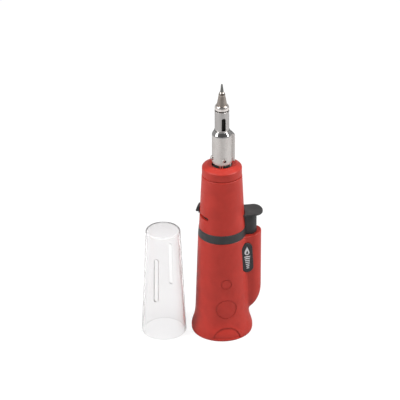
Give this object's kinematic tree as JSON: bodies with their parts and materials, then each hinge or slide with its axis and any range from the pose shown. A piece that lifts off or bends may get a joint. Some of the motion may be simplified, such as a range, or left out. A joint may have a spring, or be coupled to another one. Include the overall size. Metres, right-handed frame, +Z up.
{
  "type": "butane torch",
  "caption": "Pocket gas torch with a soldering bit: tapered red handle with a side pod and thumb igniter, gas lever, stainless burner sleeve, and a clear cap standing beside it.",
  "frame": {"origin": "centre of the foot, on the table under the tool's axis", "axes": "+Z up the tool's axis to the tip, +X to the pod with the ignition button, -Y to the front with the engraved circles"},
  "size_m": [0.0988, 0.05, 0.2208],
  "materials": {
    "red_soft_touch": "matt soft-touch coating",
    "black_plastic": "fine matt texture",
    "badge_black": "satin black with light markings",
    "stainless": "turned stainless steel with a polished shoulder",
    "plated_bit": "iron-plated taper",
    "spring_steel": "plain drawn steel",
    "brass": "turned brass",
    "white_ceramic": "unglazed ceramic",
    "dark_catalyst": "sooty dark gauze",
    "tank_plastic": "natural translucent nylon",
    "igniter_plastic": "plain black moulding",
    "seal_rubber": "smooth nitrile",
    "lead_rubber": "silicone covered wire",
    "wick_felt": "white felt",
    "clear_plastic": "clear polished plastic"
  },
  "bodies": {
    "root": {"lower_shell": "red_soft_touch", "upper_shell": "red_soft_touch", "nose_ring": "red_soft_touch", "base_cap": "black_plastic", "base_screws": "spring_steel", "badge": "badge_black", "chassis": "black_plastic", "insulator_bush": "black_plastic", "bush_circlip": "spring_steel", "burner_sleeve": "stainless", "jet_holder": "brass", "jet_nozzle": "brass", "mixing_tube": "stainless", "flame_gauze": "stainless", "electrode_rod": "spring_steel", "electrode_insulator": "white_ceramic", "ignition_lead": "lead_rubber", "fuel_tank": "tank_plastic", "tank_head": "tank_plastic", "tank_seal": "seal_rubber", "gas_filter": "brass", "feed_wick": "wick_felt", "filler_valve_body": "brass", "filler_gasket": "seal_rubber", "filler_seal": "seal_rubber", "filler_spring": "spring_steel", "valve_body": "brass", "valve_nut": "brass", "gland_nut": "brass", "gland_seal": "seal_rubber", "valve_spring": "spring_steel", "gas_union": "brass", "union_seal": "seal_rubber", "gas_tube": "stainless", "piezo_case": "igniter_plastic", "piezo_crystal": "white_ceramic", "piezo_anvil": "spring_steel", "piezo_terminal": "brass", "return_spring": "spring_steel"},
    "button": {"ignition_button": "black_plastic", "piezo_plunger": "igniter_plastic", "hammer_spring": "spring_steel"},
    "hammer": {"piezo_hammer": "spring_steel"},
    "gas_control": {"control_lever": "black_plastic"},
    "spindle": {"valve_spindle": "brass", "valve_seat_pad": "seal_rubber"},
    "filler_stem": {"filler_stem": "brass"},
    "tip_unit": {"tip_body": "stainless", "tip_collar": "stainless", "soldering_bit": "plated_bit", "catalyst": "dark_catalyst"},
    "cap": {"clear_cap": "clear_plastic"}
  },
  "joints": [
    {"name": "button_press", "type": "slide", "parent": "root", "child": "button", "axis": [0, 0, -1], "range_m": [0, 0.005], "stiffness_N_per_m": 250, "springref_m": -0.003, "deforming": ["return_spring", "hammer_spring"]},
    {"name": "hammer_strike", "type": "slide", "parent": "root", "child": "hammer", "axis": [0, 0, -1], "range_m": [0, 0.0053], "stiffness_N_per_m": 120, "springref_m": -0.002},
    {"name": "gas_turn", "type": "hinge", "parent": "root", "child": "gas_control", "pos_m": [0, 0, 0.107], "axis": [0, 0, 1], "range_deg": [-13, 52]},
    {"name": "spindle_lift", "type": "slide", "parent": "gas_control", "child": "spindle", "axis": [0, 0, 1], "range_m": [-0.00019, 0.00074], "deforming": ["valve_spring"]},
    {"name": "filler_push", "type": "slide", "parent": "root", "child": "filler_stem", "axis": [0, 0, 1], "range_m": [0, 0.002], "stiffness_N_per_m": 400, "springref_m": -0.001, "deforming": ["filler_spring"]},
    {"name": "tip_lift", "type": "slide", "parent": "root", "child": "tip_unit", "axis": [0, 0, 1], "range_m": [0, 0.045]},
    {"name": "cap_lift", "type": "slide", "parent": "root", "child": "cap", "axis": [0, 0, 1], "range_m": [0, 0.1]}
  ],
  "couplings": [
    {"joint": "spindle_lift", "follows": "gas_turn", "m_per_rad": 0.0008}
  ]
}
